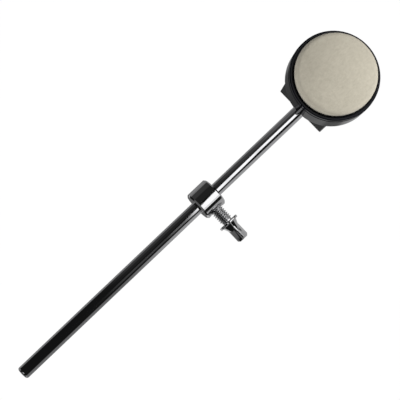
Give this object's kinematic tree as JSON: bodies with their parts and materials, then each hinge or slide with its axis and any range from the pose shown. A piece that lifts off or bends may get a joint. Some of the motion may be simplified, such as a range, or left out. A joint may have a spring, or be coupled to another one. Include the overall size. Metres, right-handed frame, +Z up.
{
  "type": "bass drum pedal beater",
  "caption": "Bass drum beater: steel rod, head with a round soft pad in front and a rectangular hard block behind, and a sliding lock collar with a square-headed key screw.",
  "frame": {"origin": "centre of the rod's free lower end", "axes": "+Z up the rod towards the head, -Y towards the side that the soft pad strikes, +Y towards the hard side, +X the way the key screw stands out of the lock collar"},
  "size_m": [0.0599, 0.0504, 0.2799],
  "materials": {
    "rod_chrome": "bright chrome plating on steel",
    "collar_chrome": "bright chrome plating on turned steel",
    "screw_chrome": "bright chrome plating on a cast and turned screw",
    "head_plastic": "glossy black moulding",
    "plate_plastic": "glossy black moulding",
    "pin_steel": "plain spring steel",
    "screw_steel": "black zinc",
    "adhesive": "double-sided foam sheet",
    "pad_felt": "short-napped beige felt"
  },
  "bodies": {
    "beater": {"rod": "rod_chrome", "head_body": "head_plastic", "head_pin": "pin_steel", "pad_plate": "plate_plastic", "plate_screws": "screw_steel", "adhesive_disc": "adhesive", "felt_pad": "pad_felt"},
    "collar": {"lock_collar": "collar_chrome"},
    "screw": {"key_screw": "screw_chrome"}
  },
  "joints": [
    {"name": "collar_slide", "type": "slide", "parent": "beater", "child": "collar", "axis": [0, 0, 1], "range_m": [-0.139, 0.069]},
    {"name": "key_screw_turn", "type": "hinge", "parent": "collar", "child": "screw", "pos_m": [0.0094, 0, 0.1479], "axis": [1, 0, 0], "range_deg": [-76, 1020]}
  ]
}
